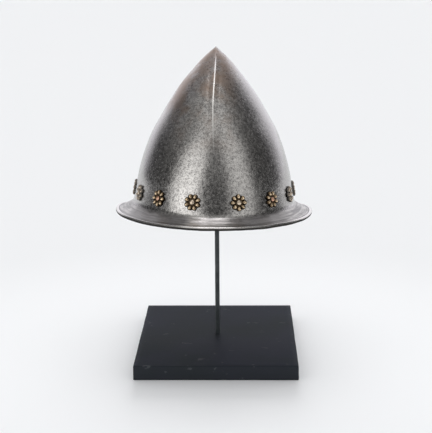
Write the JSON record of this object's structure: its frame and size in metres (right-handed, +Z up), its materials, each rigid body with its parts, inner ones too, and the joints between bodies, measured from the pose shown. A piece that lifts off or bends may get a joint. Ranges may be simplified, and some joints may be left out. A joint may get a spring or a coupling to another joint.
{
  "type": "morion helmet on a display stand",
  "caption": "Pointed steel morion with a narrow flat brim, a rolled rim and a ring of brass rosettes, held by its crown on a slim post in a flat black base.",
  "frame": {"origin": "centre of the base's underside, on the surface that it stands on", "axes": "+Z up, -Y towards the helmet's front, +X towards the viewer's right when seen from the front"},
  "size_m": [0.2461, 0.2904, 0.39],
  "materials": {
    "aged_steel": "old polished steel, finely pitted, with brown patina in places",
    "old_brass": "tarnished brass, dark in its hollows",
    "dark_rod": "dark grey-green satin metal",
    "black_base": "matt black paint, lightly scuffed"
  },
  "bodies": {
    "root": {"helmet_shell": "aged_steel", "rosette_01": "old_brass", "rosette_02": "old_brass", "rosette_03": "old_brass", "rosette_04": "old_brass", "rosette_05": "old_brass", "rosette_06": "old_brass", "rosette_07": "old_brass", "rosette_08": "old_brass", "rosette_09": "old_brass", "rosette_10": "old_brass", "rosette_11": "old_brass", "rosette_12": "old_brass", "rosette_13": "old_brass", "rosette_14": "old_brass", "rivet_01": "old_brass", "rivet_02": "old_brass", "rivet_03": "old_brass", "rivet_04": "old_brass", "rivet_05": "old_brass", "rivet_06": "old_brass", "rivet_07": "old_brass", "rivet_08": "old_brass", "rivet_09": "old_brass", "rivet_10": "old_brass", "rivet_11": "old_brass", "rivet_12": "old_brass", "rivet_13": "old_brass", "rivet_14": "old_brass", "stand_post": "dark_rod", "stand_base": "black_base"}
  },
  "joints": []
}
